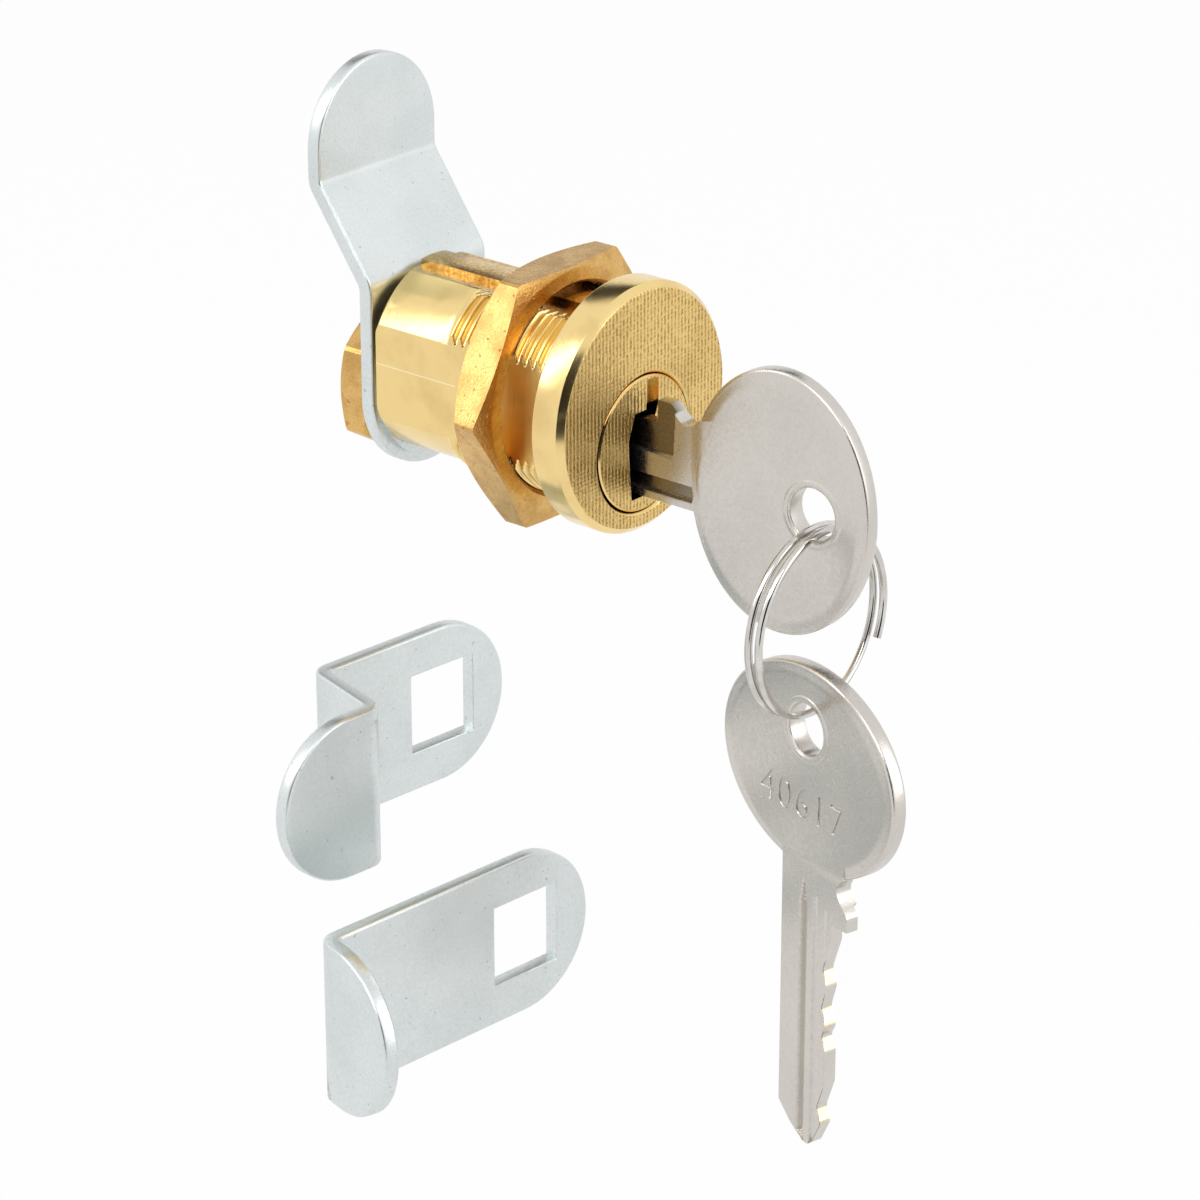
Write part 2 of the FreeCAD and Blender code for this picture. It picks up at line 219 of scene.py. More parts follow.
def dark_card(name, place, target, size):
    """Matt dark board that faces the target and shows only as a reflection in the metal."""
    half_w, half_h = size[0] / 2, size[1] / 2
    board = bpy.data.meshes.new(name)
    aim = (Vector(target) - Vector(place)).to_track_quat("Z", "Y")
    corners = [(-half_w, -half_h, 0), (half_w, -half_h, 0), (half_w, half_h, 0), (-half_w, half_h, 0)]
    board.from_pydata([aim @ Vector(corner) + Vector(place) for corner in corners], [], [(0, 1, 2, 3)])
    board.materials.append(card_paint)
    card = put(name, board)
    card.visible_camera = False


card_paint, start = empty_material("card_black")
matt = start.node("ShaderNodeBsdfDiffuse", {}, {"Color": (0.03, 0.028, 0.025, 1)})
start.node("ShaderNodeOutputMaterial", {}, {0: matt})
softbox("key_light", (-0.65, -0.25, 0.75), (0, 0, 0), (0.7, 0.5), 4.0)
softbox("fill_light", (0.35, -0.95, 0.35), (0, 0, -0.01), (0.5, 0.9), 2.2)
dark_card("camera_side_card", (-1.05, -1.15, 0.42), (0, 0, 0), (1.3, 1.3))
dark_card("rear_card", (0.75, 0.75, 0.85), (0, 0, 0), (0.8, 0.5))
dark_card("low_card", (-0.19, -0.22, -0.095), (0, 0, 0), (0.16, 0.16))
softbox("rear_strip", (-0.70, 0.75, 0.66), (0, 0, 0), (0.26, 0.75), 1.9)


# Lock body. The flange and barrel are one piece of brass, turned, threaded and milled flat on
# two sides and on top. The flange's face carries fine planed lines, its rim a wide chamfer.
MM = 0.001
flange_r, flange_t, rim_chamfer = 11.9, 3.5, 0.62
thread_r, thread_depth, thread_pitch = 9.9, 0.55, 0.94
thread_start, thread_end = 1.0, 13.8
rear_r, rear_chamfer, barrel_l = 9.38, 0.35, 22.24
side_flat_x, top_flat_z = 8.2, 8.7
plug_z, plug_r, head_r, head_t = -3.36, 5.4, 6.5, 2.3
face_edge_r = flange_r - rim_chamfer
root_r = thread_r - thread_depth
head_seat_y = head_t - flange_t


def edge_arc(corner, before, after, radius, steps=4):
    """Rounds a profile's corner: points of a quadratic curve between its two sides."""
    corner, before, after = (np.array(p, float) for p in (corner, before, after))
    first = corner + (before - corner) / np.linalg.norm(before - corner) * radius
    last = corner + (after - corner) / np.linalg.norm(after - corner) * radius
    part = np.linspace(0, 1, steps)[:, None]
    return (1 - part) ** 2 * first + 2 * part * (1 - part) * corner + part ** 2 * last


def rounded(points, radius):
    """Open profile with each of its corners, but not its two ends, rounded by edge_arc."""
    rows = [np.array(points[0], float)[None]]
    for before, corner, after in zip(points, points[1:], points[2:]):
        rows.append(edge_arc(corner, before, after, radius))
    rows.append(np.array(points[-1], float)[None])
    return np.concatenate(rows)


def grid_mesh(name, points, body, material, closed=(True, True), sharp=40, replaced=()):
    """Skin over a grid of points in mm, rows by columns; closed says which way it joins up.
    Faces are turned outwards by the sign of the volume that they enclose."""
    rows, columns = points.shape[:2]
    index = np.arange(rows * columns).reshape(rows, columns)
    down = np.roll(index, -1, 0) if closed[0] else index[1:]
    here = index if closed[0] else index[:-1]
    if closed[1]:
        quads = np.stack([here, down, np.roll(down, -1, 1), np.roll(here, -1, 1)], -1)
    else:
        quads = np.stack([here[:, :-1], down[:, :-1], down[:, 1:], here[:, 1:]], -1)
    quads = quads.reshape(-1, 4)
    flat = points.reshape(-1, 3) * MM
    a, b, c, d = (flat[quads[:, i]] for i in range(4))
    volume = np.einsum("ij,ij->i", a, np.cross(b, c) + np.cross(c, d)).sum()
    if volume < 0:
        quads = quads[:, ::-1]
    mesh = bpy.data.meshes.new(name)
    mesh.from_pydata(flat, [], quads.tolist())
    mesh.shade_smooth()
    mesh.set_sharp_from_angle(angle=math.radians(sharp))
    mesh.materials.append(material)
    piece = put(name, mesh)
    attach(piece, body)
    if replaced:
        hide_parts(*replaced)
    return piece


def metal(name, base, shading):
    """Metal whose colour, roughness and bump come from shading(start, place), which returns
    (colour, roughness, height, distance); place is the Object coordinate in millimetres. Base
    is the plain colour of a view without nodes."""
    paint, start = empty_material(name)
    place = start.node("ShaderNodeTexCoord", {}, {}, "Object")
    place = start.node("ShaderNodeVectorMath", {"operation": "SCALE"}, {0: place, "Scale": 1 / MM})
    colour, roughness, height, distance = shading(start, place)
    bump = start.node("ShaderNodeBump", {},
                      {"Strength": 1.0, "Distance": distance * MM, "Height": height})
    shader = start.node("ShaderNodeBsdfPrincipled", {},
                        {"Base Color": colour, "Metallic": 1.0, "Roughness": roughness, "Normal": bump})
    start.node("ShaderNodeOutputMaterial", {}, {0: shader})
    paint.diffuse_color = (*base, 1)
    return paint


def noise(start, place, scale, detail=2.0, stretch=(1, 1, 1), rough=0.5):
    """Noise of about one cell per 1/scale mm, stretched along the axes."""
    mapped = start.node("ShaderNodeVectorMath", {"operation": "MULTIPLY"}, {0: place, 1: stretch})
    return start.node("ShaderNodeTexNoise", {"noise_dimensions": "3D"},
                      {"Vector": mapped, "Scale": scale, "Detail": detail, "Roughness": rough})


def axes(start, place):
    """The three coordinates of a place, each as a socket of its own."""
    return [start.node("ShaderNodeSeparateXYZ", {}, {0: place}, i) for i in range(3)]


brass_light = (0.88, 0.66, 0.29, 1)
brass_dark = (0.40, 0.22, 0.05, 1)
# Painted shade: the shadow colour fills the keyway's walls and the gap round the plug's head.
brass_shadow = (0.05, 0.025, 0.008, 1)
brass_planed = (0.85, 0.61, 0.23, 1)
brass_scribed = (0.98, 0.86, 0.55, 1)
# Painted half shade, lighter, for the keyway slot's walls near its opening.
brass_slot_half_shade = (0.80, 0.5, 0.17, 1)
line_pitch = 0.49


def turned_brass(start, place):
    """Lathe marks round Y on the turned sides, planed lines on the face, mill marks on flats.
    The keyway's walls and the gap round the plug's head carry painted shade, lighter near the
    slot's opening, and the milled top flat is painted darker as shade, with a broken texture."""
    x, y, z = axes(start, place)
    hair = 0.02
    on_face = y < -flange_t + hair
    on_flat = (start.math("ABSOLUTE", x) > side_flat_x - hair) * (y > 0.1)
    on_top = (z > top_flat_z - hair) * (y > 0.1)
    off_axis = (x * x + (z - plug_z) * (z - plug_z)) ** 0.5
    keyway_shade = (off_axis < plug_r - 0.1) * (y > 0.12 - flange_t) * (y < 20.0)
    gap_shade = (start.math("ABSOLUTE", off_axis - (head_r + 0.04)) < 0.07) * (y > 0.06 - flange_t)
    rings = noise(start, place, 1.0, 3, (0.05, 9, 0.05))
    tooling = noise(start, place, 1.0, 3, (7, 7, 0.12))
    wobble = noise(start, place, 1.4, 2) - 0.5
    lines = start.math("SINE", (x + wobble * 0.10) * (2 * math.pi / line_pitch))
    broken = noise(start, place, 2.6, 3, (1.2, 1, 0.9)).between(0.36, 0.6)
    cross = start.math("SINE", (z + wobble * 0.25) * (2 * math.pi / (line_pitch * 0.8)))
    planed = lines * (0.45 + broken * 0.55) + cross * 0.16
    smear = noise(start, place, 0.22, 4)
    groove = (0.5 - planed * 0.5) ** 2.0
    # Darker tone: random smears and the planed lines' grooves are the metal's own; over the whole milled top
    # flat it is painted shade.
    stain_and_top_shade = (smear.between(0.45, 0.72) * 0.22 + on_face * groove * (0.5 + broken * 0.5)
             + on_top * (0.3 + broken * 0.4))
    scribed = (start.math("ABSOLUTE", z - 0.7 - wobble * 0.05) < 0.05) * on_flat * (y > 12.4)
    clean = on_face.blend(brass_light, brass_planed)
    colour = scribed.blend(stain_and_top_shade.blend(clean, brass_dark), brass_scribed)
    # Painted shade: the keyway's walls and the gap round the plug's head go near black, the slot's walls by
    # the opening a lit dark gold.
    painted_slot_shade = ((z > -0.05) * (y < 0.75 - flange_t)).blend(brass_shadow, brass_slot_half_shade)
    colour = start.math("MAXIMUM", keyway_shade, gap_shade).blend(colour, painted_slot_shade)
    roughness = 0.13 + smear * 0.10 + on_face * 0.12 + on_flat * 0.12
    plain = rings * (1 - on_face) * (1 - on_flat) * 0.14
    height = plain + on_flat * tooling * 0.3 + on_face * planed * 0.6
    return colour, roughness, height, 0.05


body_brass = metal("turned_brass", brass_light[:3], turned_brass)
columns = 480
around = np.linspace(0, 2 * np.pi, columns, endpoint=False)
circle = np.stack([np.cos(around), np.sin(around)], -1)


def body_row(radius, y, offset=0.0, milled=False):
    """One closed row of the body: a circle at y, cut off flat at both sides and on top."""
    row = np.zeros((columns, 3))
    row[:, 0] = radius * circle[:, 0]
    row[:, 1] = y
    row[:, 2] = radius * circle[:, 1] + offset
    if milled:
        row[:, 0] = np.clip(row[:, 0], -side_flat_x, side_flat_x)
        row[:, 2] = np.minimum(row[:, 2], top_flat_z)
    return row


def thread_profile():
    """Radius along the thread: vees with narrow crests, running out before the plain rear."""
    turns = int((thread_end - thread_start) / thread_pitch)
    phase = np.array([0.0, 0.08, 0.2, 0.33, 0.42, 0.5, 0.58, 0.67, 0.8, 0.92])
    lift = np.array([0.0, 0.06, 0.4, 0.82, 0.98, 1.0, 0.98, 0.82, 0.4, 0.06])
    along = thread_start + (np.arange(turns)[:, None] + phase[None]) * thread_pitch
    radii = root_r + thread_depth * np.tile(lift, (turns, 1))
    return list(zip(radii.ravel(), along.ravel())) + [(root_r, thread_start + turns * thread_pitch)]


def carve(piece, tool):
    """Cuts a closed solid out of a piece and takes the solid away."""
    cutter = piece.modifiers.new("cut", "BOOLEAN")
    cutter.operation = "DIFFERENCE"
    cutter.solver = "EXACT"
    cutter.object = tool
    bpy.context.view_layer.update()
    cut = bpy.data.meshes.new_from_object(piece.evaluated_get(bpy.context.evaluated_depsgraph_get()))
    piece.modifiers.clear()
    piece.data = cut
    bpy.data.objects.remove(tool)


def node_box(name):
    """Lowest and highest corner of one of the model's own nodes, in metres."""
    node = frame["nodes"][name]
    corners = np.array([node.matrix_world @ Vector(corner) for corner in node.bound_box])
    return corners.min(0), corners.max(0)


def pin_bars(low_z, high_z, clearance=0.05, sides=48):
    """Upright round bars on the five pins' axes, a little wider than the pins, heights in mm."""
    corners, faces = [], []
    for i in range(1, 6):
        low, high = node_box(f"driver_pin_{i}")
        middle = (low + high) / 2
        radius = (high[0] - low[0]) / 2 + clearance * MM
        base = len(corners)
        for z in (low_z * MM, high_z * MM):
            corners += [(middle[0] + radius * math.cos(2 * math.pi * k / sides),
                         middle[1] + radius * math.sin(2 * math.pi * k / sides), z)
                        for k in range(sides)]
        ring = [base + k for k in range(sides)]
        faces += [ring[::-1], [k + sides for k in ring]]
        faces += [(a, b, b + sides, a + sides) for a, b in zip(ring, ring[1:] + ring[:1])]
    bars = bpy.data.meshes.new("pin_bars")
    bars.from_pydata(corners, [], faces)
    return put("pin_bars", bars)


def strip_slot(seam=0.02, open_end=1.0):
    """Box round the chamber strip with a fine seam, open to the barrel's rear end and its top."""
    low, high = node_box("chamber_strip")
    low = low - seam * MM
    high = high + np.array([seam, open_end, open_end]) * MM
    corners = [(x, y, z) for x in (low[0], high[0]) for y in (low[1], high[1])
               for z in (low[2], high[2])]
    sides = [(0, 1, 3, 2), (4, 6, 7, 5), (0, 4, 5, 1), (2, 3, 7, 6), (0, 2, 6, 4), (1, 5, 7, 3)]
    slot = bpy.data.meshes.new("strip_slot")
    slot.from_pydata(corners, [], sides)
    return put("strip_slot", slot)


bore_gap, head_gap, seat_gap, chamber_top = 0.1, 0.08, 0.05, 7.95
rows = [body_row(plug_r + bore_gap, y, plug_z) for y in (barrel_l, head_seat_y + seat_gap)]
counterbore = [(0, head_seat_y + seat_gap), (0, -flange_t + 0.3), (0.28, -flange_t), (1, -flange_t)]
rows += [body_row(head_r + head_gap + out, y, plug_z) for out, y in rounded(counterbore, 0.07)]
face_inner = body_row(head_r + head_gap + 1, -flange_t, plug_z)
face_outer = body_row(face_edge_r - 0.3, -flange_t)
rows += [face_inner * (1 - part) + face_outer * part for part in np.linspace(0, 1, 24)[1:]]
rim = [(face_edge_r - 0.3, -flange_t), (face_edge_r, -flange_t), (flange_r, rim_chamfer - flange_t),
       (flange_r, -0.12), (flange_r - 0.12, 0), (root_r + 0.2, 0)]
rows += [body_row(radius, y) for radius, y in rounded(rim, 0.06)]
rows += [body_row(root_r, 0.03, milled=True)]
rows += [body_row(radius, y, milled=True) for radius, y in thread_profile()]
tail = [(root_r, thread_end - 0.1), (rear_r, thread_end + 0.4), (rear_r, barrel_l - rear_chamfer),
        (rear_r - rear_chamfer, barrel_l), (plug_r + 2.6, barrel_l)]
rows += [body_row(radius, y, milled=True) for radius, y in rounded(tail, 0.12)]
piece = grid_mesh("brass_body", np.array(rows), "body", body_brass, replaced=("lock_body",), sharp=30)
carve(piece, pin_bars(plug_z + plug_r - 1, chamber_top))
carve(piece, strip_slot())


# Plug. A brass cylinder with a larger head, set low in the body so that the pin chambers fit
# above it. Its keyway runs out at the head's upper edge; behind, a square tail ends in a stud.
stud_r, cam_nut_y, cam_nut_t, tail_half = 3.9, 24.39, 3.6, 4.0
# Keyway's outline from the plug's axis, seen from the front: wide low down on the left, where
# the blade's wards run, and only a narrow slot above.
keyway_corners = np.array([(1.05, -5.1), (1.05, 1.66), (1.9, 3.2), (1.9, 6.1), (0.3, 6.1), (0.15, 3.2),
                           (-1.4, 3.2), (-2.3, 0.7), (-2.2, -1.2), (-1.9, -5.1)])


def keyway_loop(limit):
    """The keyway's outline at even angles about the plug's axis: along each direction d the
    distance to the side from a to b is cross(a, b - a) / cross(d, b - a), at most the limit."""
    side = np.roll(keyway_corners, -1, 0) - keyway_corners
    bearings = np.arctan2(keyway_corners[:, 1], keyway_corners[:, 0])
    reach = np.full(columns, float(limit))
    for corner, along, first, last in zip(keyway_corners, side, bearings, np.roll(bearings, -1)):
        span = (last - first) % (2 * math.pi)
        here = (around - first) % (2 * math.pi) <= span
        direction = circle[here]
        crossed = direction[:, 0] * along[1] - direction[:, 1] * along[0]
        reach[here] = np.minimum((corner[0] * along[1] - corner[1] * along[0]) / crossed, limit)
    return circle * reach[:, None]


def plug_row(plan, y):
    """Row of the plug at depth y: a plan drawn about the plug's axis, moved down onto it."""
    row = np.zeros((columns, 3))
    row[:, 0] = plan[:, 0]
    row[:, 1] = y
    row[:, 2] = plan[:, 1] + plug_z
    return row


slot_top, slot_floor_y, head_chamfer = 3.4, 0.7 - flange_t, 0.18
slot_plan = keyway_loop(head_r - 0.3)
deep_plan = np.stack([slot_plan[:, 0], np.minimum(slot_plan[:, 1], slot_top)], -1)
back_plan = keyway_loop(plug_r - 0.12)
back_plan[:, 1] = np.minimum(back_plan[:, 1], slot_top)
rows = [plug_row(back_plan, barrel_l - 0.4), plug_row(back_plan, head_seat_y),
        plug_row(deep_plan, head_seat_y - 0.05), plug_row(deep_plan, slot_floor_y),
        plug_row(slot_plan, slot_floor_y), plug_row(slot_plan, -flange_t + 0.05)]
rim_plan = circle * (head_r - head_chamfer)
rows += [plug_row(slot_plan * (1 - part) + rim_plan * part, -flange_t)
         for part in np.linspace(0.01, 1, 20)]
head = [(head_r - head_chamfer, -flange_t), (head_r, -flange_t + head_chamfer), (head_r, head_seat_y),
        (plug_r, head_seat_y), (plug_r, barrel_l), (plug_r - 0.3, barrel_l)]
rows += [plug_row(circle * radius, y) for radius, y in rounded(head, 0.05)]
piece = grid_mesh("plug_barrel", np.array(rows), "plug", body_brass, replaced=("plug",), sharp=30)
carve(piece, pin_bars(plug_z + slot_top - 0.9, plug_z + plug_r + 0.5))


def square_to_round(half, radius, y):
    """Row of the tail: a square of the given half width with its corners cut by a circle."""
    reach = half / np.maximum(np.abs(circle[:, 0]), np.abs(circle[:, 1]))
    return plug_row(circle * np.minimum(reach, radius)[:, None], y)


stud_end, stud_chamfer, tail_start, tip_r = cam_nut_y + cam_nut_t + 0.6, 0.5, barrel_l - 1, 0.01
rows = [plug_row(circle * tip_r, tail_start), square_to_round(tail_half, plug_r - 0.05, tail_start),
        square_to_round(tail_half, plug_r - 0.05, cam_nut_y)]
stud = [(stud_r, cam_nut_y), (stud_r, stud_end - stud_chamfer), (stud_r - stud_chamfer, stud_end),
        (tip_r, stud_end)]
rows += [plug_row(circle * radius, y) for radius, y in rounded(stud, 0.1)]
piece = grid_mesh("plug_tail", np.array(rows), "plug", body_brass, closed=(False, True), sharp=30)


# Mounting nut. A thin hexagon of brass bar, 23.8 mm across flats, with both faces turned down
# at the corners. It screws along the barrel to clamp the door against the flange.
nut_y, nut_t, nut_flats, nut_turn, nut_bore = 4.9, 4.1, 23.8, math.radians(1.5), 9.98
cam_nut_flats, cam_nut_turn = 14.3, math.radians(30)
bar_light, bar_dark = (0.76, 0.48, 0.17, 1), (0.36, 0.17, 0.035, 1)


def hex_reach(flats, turn, soft):
    """Distance from the axis to a hexagon with its corners softened, for each column."""
    sector = (around - turn) % (math.pi / 3) - math.pi / 6
    return np.minimum(flats / 2 / np.cos(sector), flats / math.sqrt(3) - soft)


def hex_nut(name, flats, thick, y, z, bore, turn, slopes, body, material, node):
    """Nut as one closed skin: bore, face, turned corner cone, flat sides and back again.
    Outside the flats' inner circle each face's cone falls at its slope in degrees."""
    reach = hex_reach(flats, turn, 0.12)
    face_r = flats / 2 - 0.25
    lead = 0.36
    rows = []
    for face, start_y, fall in ((-1, y, slopes[0]), (1, y + thick, slopes[1])):
        slope = math.tan(math.radians(fall))
        half_rows = []
        for radius, inset in ((bore, 0.35), (bore + 0.3, 0.04), (bore + lead, 0.0)):
            half_rows.append((np.full(columns, radius), np.full(columns, inset)))
        for part in np.linspace(0, 1, 6)[1:]:
            radius = bore + lead + (face_r - bore - lead) * part
            half_rows.append((np.full(columns, radius), np.zeros(columns)))
        for part in np.linspace(0, 1, 7)[1:]:
            radius = face_r + (reach - face_r) * part
            half_rows.append((radius, (radius - face_r) * slope))
        half_rows.append((reach, (reach - face_r) * slope + 0.06))
        half_rows = [(r, start_y - face * inset) for r, inset in half_rows]
        rows += half_rows if face < 0 else half_rows[::-1]
    points = np.zeros((len(rows), columns, 3))
    for i, (radius, along) in enumerate(rows):
        points[i, :, 0] = radius * circle[:, 0]
        points[i, :, 1] = along
        points[i, :, 2] = radius * circle[:, 1] + z
    piece = grid_mesh(name, points, body, material, replaced=(node,), sharp=22)


def nut_look(start, place):
    """Duller bar brass: rough saw marks across the sides, small dark dents and darker clouding."""
    cloud = noise(start, place, 0.5, 4)
    marks = noise(start, place, 1.1, 3, (1.5, 6, 1.5))
    dents = noise(start, place, 1.6, 1).between(0.70, 0.74)
    grain = noise(start, place, 5.0, 3).between(0.35, 0.65)
    tone = cloud.between(0.35, 0.7) * 0.35 + grain * 0.2 + dents * 0.45
    colour = tone.blend(bar_light, bar_dark)
    return colour, 0.2 + cloud * 0.14, marks * 0.35 + grain * 0.1 - dents * 0.8, 0.05


nut_brass = metal("bar_brass", (0.8, 0.56, 0.22), nut_look)
hex_nut("hex_nut", nut_flats, nut_t, nut_y, 0, nut_bore, nut_turn, (15, 34), "mounting_nut", nut_brass,
        "mounting_nut")
hex_nut("tail_nut", cam_nut_flats, cam_nut_t, cam_nut_y, plug_z, stud_r + 0.05, cam_nut_turn, (30, 30),
        "plug", nut_brass, "cam_nut")


# Cams. Each is punched from 1.5 mm steel strip, 16.2 mm wide, with rounded ends and a square
# hole, then bent and zinc plated. The punch leaves one rounded edge all the way round.
cam_w, cam_t, cam_hole = 16.2, 1.5, 8.1
zinc_light, zinc_dark = (0.73, 0.77, 0.765, 1), (0.40, 0.45, 0.44, 1)


def path_map(line, radius):
    """Turns a bent middle line, given by its corner points, into pieces of straight and arc.
    Returns a function from (distance along, height above the middle) to the two coordinates."""
    line = [np.array(p, float) for p in line]
    runs, spot, total = [], line[0], 0.0
    for before, corner, after in zip(line, line[1:], line[2:]):
        first = (corner - before) / np.linalg.norm(corner - before)
        second = (after - corner) / np.linalg.norm(after - corner)
        cross = first[0] * second[1] - first[1] * second[0]
        bend = math.atan2(cross, float(first @ second))
        reach = radius * math.tan(abs(bend) / 2)
        enter = corner - first * reach
        length = float((enter - spot) @ first)
        runs.append((total, spot, first, length, 0.0))
        total += length
        runs.append((total, enter, first, radius * abs(bend), math.copysign(1 / radius, bend)))
        total += radius * abs(bend)
        spot = corner + second * reach
    last = line[-1] - line[-2]
    endless = 1e6
    runs.append((total, spot, last / np.linalg.norm(last), endless, 0.0))

    def place_at(along, height):
        """On a straight run, forward is the step along it; on an arc of curvature c and angle
        a, forward is sin(a) / c and sideways (1 - cos(a)) / c. The height goes on the normal."""
        out = np.zeros(along.shape + (2,))
        for begin, origin, heading, length, curl in runs:
            here = (along >= begin) if length else np.zeros_like(along, bool)
            if begin == 0:
                here = np.ones_like(along, bool)
            step = (along - begin)[here]
            turn = step * curl
            if curl:
                forward = np.sin(turn) / curl
                sideways = (1 - np.cos(turn)) / curl
            else:
                forward, sideways = step, np.zeros_like(step)
            left = np.array([-heading[1], heading[0]])
            spot = origin + forward[:, None] * heading + sideways[:, None] * left
            normal = -np.sin(turn)[:, None] * heading + np.cos(turn)[:, None] * left
            out[here] = spot + height[here][:, None] * normal
        return out
    return place_at


def cam_plate(straight, samples=320, across=90, edge=0.28):
    """Flat cam as a closed skin round its square hole: (along, aside, height) for each point.
    Columns go round the hole and the outline, rows go hole wall, face, rounded edge, back."""
    half, hole = cam_w / 2, cam_hole / 2
    perimeter = 2 * straight + 2 * math.pi * half
    walk = np.linspace(0, perimeter, samples, endpoint=False)
    outline = np.zeros((samples, 2))
    normal = np.zeros((samples, 2))
    for i, w in enumerate(walk):
        if w < straight:
            outline[i], normal[i] = (w, -half), (0, -1)
        elif w < straight + math.pi * half:
            a = (w - straight) / half - math.pi / 2
            normal[i] = (math.cos(a), math.sin(a))
            outline[i] = (straight + half * math.cos(a), half * math.sin(a))
        elif w < 2 * straight + math.pi * half:
            outline[i], normal[i] = (2 * straight + math.pi * half - w, half), (0, 1)
        else:
            a = (w - 2 * straight - math.pi * half) / half + math.pi / 2
            normal[i] = (math.cos(a), math.sin(a))
            outline[i] = (half * math.cos(a), half * math.sin(a))
    bearing = np.arctan2(outline[:, 1], outline[:, 0])
    for corner in (-3, -1, 1, 3):
        nearest = np.argmin(np.abs(bearing - corner * math.pi / 4))
        bearing[nearest] = corner * math.pi / 4
    ray = np.stack([np.cos(bearing), np.sin(bearing)], -1)
    inner = ray * (hole / np.abs(ray).max(1))[:, None]
    return plate_skin(inner, ray, outline, normal, cam_t, edge, across)


def plate_skin(inner, inner_out, outline, normal, thick, edge, across, relief=None):
    """Closed skin of a plate with a hole, made of rows that run all round it.
    An edge row lies at edge * (1 - sin) inside the outline and edge * (1 - cos) below the face."""
    half = thick / 2
    turn = np.linspace(0, math.pi / 2, 5)
    hole_edge = 0.12
    start_face = inner + inner_out * hole_edge
    end_face = outline - normal * edge
    rows = [(inner + inner_out * hole_edge * (1 - math.cos(a)), half - hole_edge * (1 - math.sin(a)))
            for a in turn]
    for part in np.linspace(0, 1, across)[1:-1]:
        plan = start_face * (1 - part) + end_face * part
        rows.append((plan, half + (relief(plan) if relief else 0)))
    low = relief(end_face) if relief else 0
    rows += [(outline - normal * edge * (1 - math.sin(a)), half + low - edge * (1 - math.cos(a)))
             for a in turn]
    rows += [(plan, -height) for plan, height in rows[::-1]]
    skin = np.zeros((len(rows), len(outline), 3))
    for i, (plan, height) in enumerate(rows):
        skin[i, :, :2] = plan
        skin[i, :, 2] = height
    return skin


def bent_cam(name, line, radius, reach, placing, body, node):
    """Cam: the flat skin carried along its bent middle line, then put in place."""
    place_at = path_map(line, radius)
    skin = cam_plate(reach - cam_w / 2)
    bent = place_at(skin[..., 0], skin[..., 2])
    points = placing(bent[..., 0], bent[..., 1], skin[..., 1])
    piece = grid_mesh(name, points, body, zinc, replaced=(node,), sharp=35)


def zinc_look(start, place):
    """Zinc plate: faint grey bloom, a few dark specks and hairline scratches."""
    bloom = noise(start, place, 0.18, 2)
    grain = noise(start, place, 3.2, 4).between(0.3, 0.7)
    specks = noise(start, place, 2.2, 2).between(0.70, 0.735)
    drag = noise(start, place, 0.8, 4, (5, 5, 0.6))
    tone = bloom.between(0.35, 0.7) * 0.14 + grain * 0.16 + specks * 0.7
    colour = tone.blend(zinc_light, zinc_dark)
    return colour, 0.3 + grain * 0.08, grain * 0.12 + drag * 0.2 - specks * 0.5, 0.02


zinc = metal("zinc_plate", (0.66, 0.7, 0.7), zinc_look)
cam_y, cam_offset, web_low, web_high, cam_top, cam_bend_r = 22.89, 6.2, 7.8, 16.5, 27.4, 1.6
middle = cam_y + cam_t / 2
cam_line = [(plug_z, middle), (web_low, middle), (web_high, middle + cam_offset),
            (cam_top + cam_w, middle + cam_offset)]
web_slope = math.hypot(web_high - web_low, cam_offset) - (web_high - web_low)
bend_turn = math.atan2(cam_offset, web_high - web_low)
bend_loss = 2 * cam_bend_r * (2 * math.tan(bend_turn / 2) - bend_turn)


def upright(z, y, x):
    """Stands the lock's cam up: its line runs up Z and back along Y, its width along X."""
    return np.stack([x, y, z], -1)


bent_cam("locking_cam_plate", cam_line, cam_bend_r, cam_top - plug_z + web_slope - bend_loss, upright, "plug",
         "locking_cam")


# Spare cams. Two more cams come with the lock and stand by themselves in the photograph, one
# with a square step and one with its end turned square. Same strip, same plating.
spare_turn, spare_bend_r = math.radians(-5), 1.3
spare_z_hole, spare_z_reach, spare_z_offset = (-3.8, 19.8, -35.6), 15.0, 9.6
spare_z_lean, spare_z_tab = 1.9, 11.8
spare_l_hole, spare_l_reach, spare_l_tab, spare_l_lean = (-11.9, 0.0, -50.5), 24.9, 10.6, 0.18


def bend_saving(angle):
    """Length that a bend saves against the sharp corner, along the middle line."""
    return spare_bend_r * (2 * math.tan(angle / 2) - angle)


def lying(hole):
    """Lays a spare cam on its side, pointing left from its hole, and turns it about Z."""
    def placing(along, depth, aside):
        x, k, z = hole[0] - along, hole[1] + depth, hole[2] + aside
        c, s = math.cos(spare_turn), math.sin(spare_turn)
        return np.stack([x * c - k * s, x * s + k * c, z], -1)
    return placing


